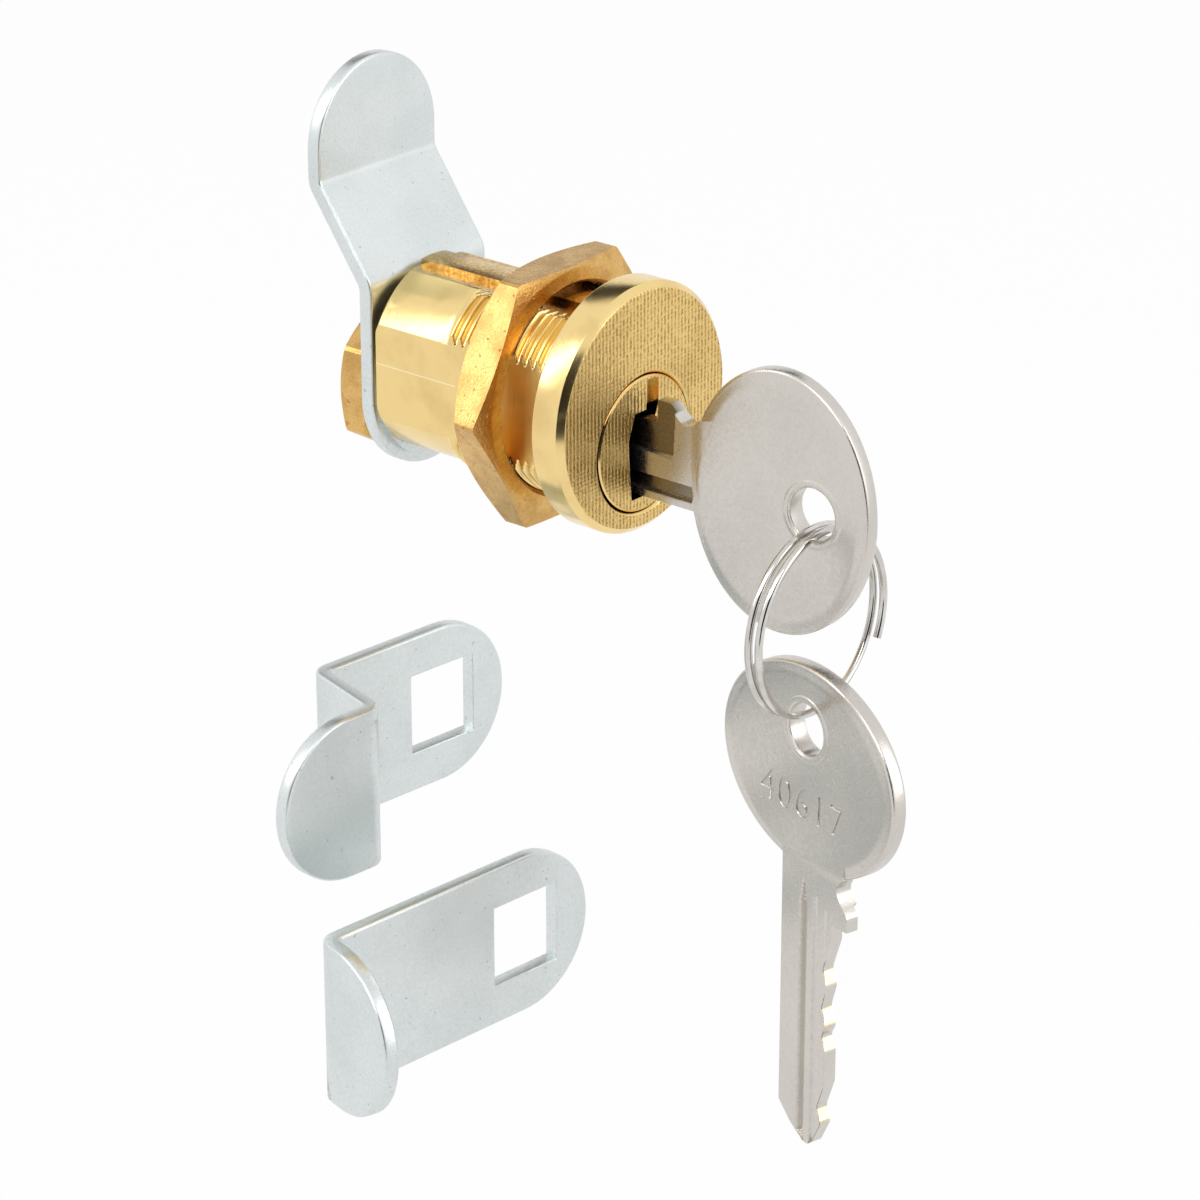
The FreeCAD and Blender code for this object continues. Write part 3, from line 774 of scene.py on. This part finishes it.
half_t = cam_t / 2
step_along = spare_z_reach + spare_z_lean
z_line = [(0, half_t), (spare_z_reach, half_t), (step_along, half_t - spare_z_offset),
          (step_along + spare_z_tab + cam_w, half_t - spare_z_offset)]
step_bend = math.atan2(spare_z_offset, spare_z_lean)
z_reach = (spare_z_reach + math.hypot(spare_z_offset, spare_z_lean) + spare_z_tab
           - 2 * bend_saving(step_bend))
bent_cam("spare_step_cam", z_line, spare_bend_r, z_reach, lying(spare_z_hole), "body", "spare_z_cam")
bend_along = spare_l_reach - half_t
l_line = [(0, half_t), (bend_along, half_t), (bend_along + spare_l_lean * cam_w, half_t - cam_w)]
tab_bend = math.atan2(1, spare_l_lean)
l_reach = bend_along + spare_l_tab * math.hypot(1, spare_l_lean) - bend_saving(tab_bend)
bent_cam("spare_square_cam", l_line, spare_bend_r, l_reach, lying(spare_l_hole), "body", "spare_l_cam")


# Keys. Both are stamped from sheet brass and nickel plated: an oval bow with a coined ring round
# the hole and a rim that falls away, and a milled blade with grooves on both faces. Its edge
# carries a stop and four cuts.
bow_s, bow_half_s, bow_half_t, bow_thick, key_hole_r = 4.0, 10.1, 12.55, 1.9, 2.5
blade_back, blade_crest, blade_l, blade_thick = -3.2, 4.2, 22.4, 1.7
face_s, nose_s, stop_t = 20.0, 18.2, 6.4
# Each cut: where its slope begins, its floor and the end of its short flank towards the tip, as
# distances from the hole, then the height of the floor and of the crest that follows.
cuts = ((19.9, 23.2, 24.8, 3.0, 3.6), (25.0, 27.2, 29.0, 2.9, 3.6), (29.1, 30.2, 31.6, 3.0, 3.65),
        (34.9, 37.9, 39.5, 2.5, 3.1))
key_drop = 1.6
key_y, key_z = -flange_t - face_s, plug_z - key_drop
second_key_z, second_turn = -26.009, math.radians(-14.4)
nickel_light, nickel_dark = (0.655, 0.62, 0.575, 1), (0.42, 0.39, 0.36, 1)
# The first colour is bare brass on the cuts' flanks; the second is painted shade for the grooves of the key
# in the lock.
worn_metal, groove_shade_colour = (0.86, 0.68, 0.42, 1), (0.16, 0.12, 0.07, 1)


def smooth_step(value, low, high):
    """0 below low, 1 above high; with p the part of the way between, 3 p squared - 2 p cubed."""
    part = np.clip((value - low) / (high - low), 0, 1)
    return part * part * (3 - 2 * part)


def bow_relief(plan):
    """Height over the bow's face: a coined ring round the hole stands proud of the flat field,
    and the last millimetre inside the oval falls away towards the rim."""
    from_hole = np.hypot(plan[:, 0], plan[:, 1]) - key_hole_r
    ring = 0.1 * smooth_step(from_hole, 0.1, 0.25) * (1 - smooth_step(from_hole, 0.55, 0.8))
    inside = (1 - np.hypot((plan[:, 0] - bow_s) / bow_half_s, plan[:, 1] / bow_half_t)) * bow_half_s
    return ring - 0.16 * (1 - smooth_step(inside, 0.1, 1.3))


def key_bow():
    """Bow as a plate skin between the round hole and the oval outline, cut by equal angles."""
    angle = np.linspace(0, 2 * math.pi, 400, endpoint=False)
    outline = np.stack([bow_s + bow_half_s * np.cos(angle), bow_half_t * np.sin(angle)], -1)
    normal = np.stack([np.cos(angle) / bow_half_s, np.sin(angle) / bow_half_t], -1)
    normal /= np.linalg.norm(normal, axis=1)[:, None]
    ray = outline / np.linalg.norm(outline, axis=1)[:, None]
    return plate_skin(ray * key_hole_r, ray, outline, normal, bow_thick, 0.3, 90, bow_relief)


def blade_edges(s):
    """Lowest and highest edge of the blade at each distance s from the hole: the round notch
    under the bow, the stop, the cuts and the pointed tip, joined by straight lines."""
    tip_s = face_s + blade_l
    top = [(10, stop_t), (nose_s - 5.1, 5.7), (nose_s - 4.6, 5.1), (nose_s - 3.9, 4.75), (nose_s - 3.2, 4.9),
           (nose_s - 2.6, 5.4), (nose_s - 1.9, 6.15), (nose_s - 1.6, stop_t), (nose_s - 0.1, stop_t),
           (nose_s, blade_crest)]
    crest = blade_crest
    for begin, floor_s, end, floor, after in cuts:
        top += [(begin, crest), (floor_s, floor), (end, after)]
        crest = after
    top += [(tip_s - 0.6, 1.9), (tip_s, 1.3)]
    low = [(0, blade_back), (tip_s - 2.9, blade_back), (tip_s - 1.2, -1.4), (tip_s, 0.6)]
    top, low = np.array(top), np.array(low)
    edge = np.interp(s, top[:, 0], top[:, 1])
    near = np.linspace(-0.25, 0.25, 7)[:, None]
    softened = np.interp(s[None, :] + near, top[:, 0], top[:, 1]).mean(0)
    worn = ((s > face_s) & (s < tip_s - 1)) | ((s > nose_s - 4.5) & (s < nose_s - 1.2))
    return np.interp(s, low[:, 0], low[:, 1]), np.where(worn, softened, edge)


def key_blade(shaded_in_lock):
    """Blade: the milled cross-section carried from the bow to the tip, clipped between its
    straight back and its cut edge. Each groove is a dip of the half thickness over t that
    runs out towards the bow. Also returns which points lie on a cut's bare metal, and how much
    painted shade darkens the back face's grooves by the stop of the key that is in the lock."""
    blade_start, step, root_inset = 10.5, 0.08, 0.002
    s = np.unique(np.round(np.concatenate([np.arange(blade_start, face_s + blade_l, step),
                                           [nose_s - 0.1, nose_s, face_s + blade_l]]), 3))
    low, high = blade_edges(s)
    t = np.concatenate([[blade_back, blade_back + 0.08], np.linspace(blade_back + 0.2, stop_t, 112)])
    # Each face's grooves: from and to across the blade, depth, and where and over what length
    # the groove runs out.
    grooves = {1: ((-0.6, 0.6, 0.5, 14.7, 3.0), (1.4, 2.1, 0.35, 16.1, 0.25),
                   (3.2, 3.5, 0.12, 16.9, 0.25)),
               -1: ((-2.5, -0.9, 0.5, 13.6, 0.25), (1.3, 9.0, 0.42, 15.8, 0.25))}

    def half_thickness(face):
        """From the bow's half thickness to the blade's, less each groove's depth between its
        slanting walls, which draw together where it runs out."""
        neck = smooth_step(s, 12.5, 14.0)[:, None]
        half = (bow_thick / 2 - root_inset) * (1 - neck) + blade_thick / 2 * neck + 0 * t[None, :]
        for begin, end, depth, run_out, length in grooves[face]:
            slant = min(0.2, (end - begin) / 2)
            opened = np.clip((s - run_out) / length, 0, 1)[:, None]
            first = (begin + end) / 2 * (1 - opened) + begin * opened
            last = (begin + end) / 2 * (1 - opened) + end * opened
            dip = np.clip((t - first) / slant, 0, 1) * np.clip((last - t) / slant, 0, 1)
            half = half - depth * dip * (opened > 0)
        return half
    section_t = np.concatenate([t, t[::-1]])
    height = np.concatenate([half_thickness(1), -half_thickness(-1)[:, ::-1]], 1)
    across = np.clip(section_t[None, :], low[:, None], high[:, None])
    flank = np.any([(s > floor_s + 0.15) & (s < end) for _, floor_s, end, _, _ in cuts], axis=0)
    bare = flank[:, None] & (section_t[None, :] >= high[:, None])
    fading = (1 - smooth_step(s, face_s, face_s + 4))[:, None]
    # Painted shade in the back face's grooves near the lock's face, only for the key in the lock.
    sunk = (np.abs(height) < blade_thick / 2 - 0.3) * fading * shaded_in_lock
    sunk[:, :len(t)] = 0
    return np.stack([np.broadcast_to(s[:, None], across.shape), across, height], -1), bare, sunk


def key_piece(name, directions, origin, shaded_in_lock, body, node):
    """Puts the bow and the blade of one key in place and gives them the nickel finish. The
    directions are those of the key's length, width and thickness. Returns the bow."""
    turned = np.array(directions, float)
    blade, bare, sunk = key_blade(shaded_in_lock)
    for part, skin, closed in (("bow", key_bow(), (True, True)), ("blade", blade, (False, True))):
        points = skin @ turned + np.array(origin)
        piece = grid_mesh(f"{name}_{part}", points, body, nickel, closed=closed, sharp=35,
                          replaced=(node,) if part == "bow" else ())
        # Each blade point is marked as bare brass and, for the key in the lock, with painted shade in its
        # grooves.
        for mark, marked in (("bare", bare), ("sunk", sunk)):
            layer = piece.data.attributes.new(mark, "FLOAT", "POINT")
            if part == "blade":
                layer.data.foreach_set("value", marked.astype(np.float32).ravel())
        if part == "bow":
            bow = piece
    return bow


def nickel_look(start, place):
    """Satin nickel plate: soft clouding, fine rub marks and a few pin-point pits. Bare brass shows on the
    cuts' flanks, and painted shade darkens the grooves of the key in the lock.
    """
    bloom = noise(start, place, 0.16, 2)
    rubbed = noise(start, place, 2.4, 4).between(0.3, 0.7)
    pits = noise(start, place, 3.5, 2).between(0.71, 0.75)
    bare = start.node("ShaderNodeAttribute", {"attribute_name": "bare"}, {}, 2)
    tone = bloom.between(0.35, 0.7) * 0.12 + rubbed * 0.1 + pits * 0.5
    plated = tone.blend(nickel_light, nickel_dark)
    patch = noise(start, place, 2.2, 2).between(0.4, 0.55)
    sunk = start.node("ShaderNodeAttribute", {"attribute_name": "sunk"}, {}, 2)
    # Painted shade: the grooves marked for it go most of the way to the shade colour.
    colour = (sunk * 0.8).blend((bare * patch).blend(plated, worn_metal), groove_shade_colour)
    return colour, 0.26 + rubbed * 0.06, rubbed * 0.3 - pits * 0.4, 0.012


nickel = metal("satin_nickel", (0.6, 0.58, 0.55), nickel_look)
# Only the key in the lock gets painted shade in its grooves.
key_piece("lock_key", ((0, 1, 0), (0, 0, 1), (1, 0, 0)), (0, key_y, key_z), True, "key", "key_in_lock")
sideways = (math.sin(second_turn), -math.cos(second_turn), 0)
outward = np.cross((0, 0, -1), sideways)
hung_bow = key_piece("hung_key", ((0, 0, -1), sideways, outward), (0, key_y, second_key_z), False,
                     "second_key", "second_key")


def stamp_number(piece, digits, height, depth, face_place, right, down, face_out):
    """Sinks digits into a piece's face: the outline of the text, made a solid bar, is cut out
    of it. face_place is the number's middle, right and down are its directions, in mm."""
    digit_share = 0.7
    letters = bpy.data.curves.new("number", "FONT")
    letters.body = digits
    letters.size = height / digit_share
    letters.align_x = "CENTER"
    letters.align_y = "CENTER"
    letters.space_character = 1.15
    letters.offset = -0.03
    letters.extrude = depth
    lettering = put("number", letters)
    bpy.context.view_layer.update()
    graph = bpy.context.evaluated_depsgraph_get()
    solid = bpy.data.meshes.new_from_object(lettering.evaluated_get(graph))
    bpy.data.objects.remove(lettering)
    right, down, face_out = (Vector(v).normalized() for v in (right, down, face_out))
    turned = Matrix((right, -down, face_out)).transposed().to_4x4()
    solid.transform(Matrix.Scale(MM, 4) @ Matrix.Translation(face_place) @ turned)
    carve(piece, put("number_bar", solid))


digit_s, digit_t, digit_h, digit_deep = 7.6, -0.4, 3.1, 0.12
down_dir, side_dir, out_dir = Vector((0, 0, -1)), Vector(sideways), Vector(outward)
middle_place = (Vector((0, key_y, second_key_z)) + down_dir * digit_s + side_dir * digit_t
                + out_dir * bow_thick / 2)
stamp_number(hung_bow, "40617", digit_h, digit_deep, middle_place, side_dir, down_dir, out_dir)


# Split ring. Nearly two turns of hard nickel-plated wire lie side by side; the ends are cut
# square. It runs through both keys' holes.
wire_r, wire_sides, ring_pitch, ring_out, ring_z = 0.37, 24, 1.15, 9.2, -15.4845
ring_turns, ring_start, ring_steps, end_share = 1.76, math.radians(-27), 360, 0.02
wire_light, wire_dark = (0.70, 0.68, 0.65, 1), (0.58, 0.56, 0.53, 1)


def wire_look(start, place):
    """Bright drawn wire with faint rub marks."""
    rubbed = noise(start, place, 0.5, 2)
    colour = rubbed.between(0.3, 0.7).blend(wire_light, wire_dark)
    return colour, 0.12 + rubbed * 0.05, rubbed * 0.1, 0.004


ring_wire = metal("ring_wire", (0.66, 0.64, 0.62), wire_look)
along = np.linspace(0, 1, ring_steps)
bearing = ring_start + along * ring_turns * 2 * math.pi
ring_mid = ring_out - wire_r
centre = np.stack([ring_mid * np.cos(bearing), key_y + (along - 0.5) * ring_turns * ring_pitch,
                   ring_z + ring_mid * np.sin(bearing)], -1)
outwards = np.stack([np.cos(bearing), np.zeros_like(bearing), np.sin(bearing)], -1)
sidewards = np.array([0, 1.0, 0])
turn = np.linspace(0, 2 * math.pi, wire_sides, endpoint=False)
tube = centre[:, None] + wire_r * (np.cos(turn)[None, :, None] * outwards[:, None] +
                                   np.sin(turn)[None, :, None] * sidewards)
# Each cut end is closed by a last row that draws in to a fiftieth of the wire's radius.
first_end = centre[:1, None] + (tube[:1] - centre[:1, None]) * end_share
last_end = centre[-1:, None] + (tube[-1:] - centre[-1:, None]) * end_share
piece = grid_mesh("ring_coil", np.concatenate([first_end, tube, last_end]), "ring", ring_wire,
                  closed=(False, True), replaced=("split_ring",))


# Hidden pieces and small ones keep the model's own mesh: the strip over the pin chambers, the
# washer behind the barrel, the pins and their springs.
finish = {"brass": body_brass, "zinc_plate": zinc, "nickel": nickel, "nickel_wire": ring_wire,
          "spring_wire": ring_wire}
for part in frame["record"]["subparts"]:
    node = frame["nodes"][part["node"]]
    node.data.materials.clear()
    node.data.materials.append(finish[part["material_slot"]])
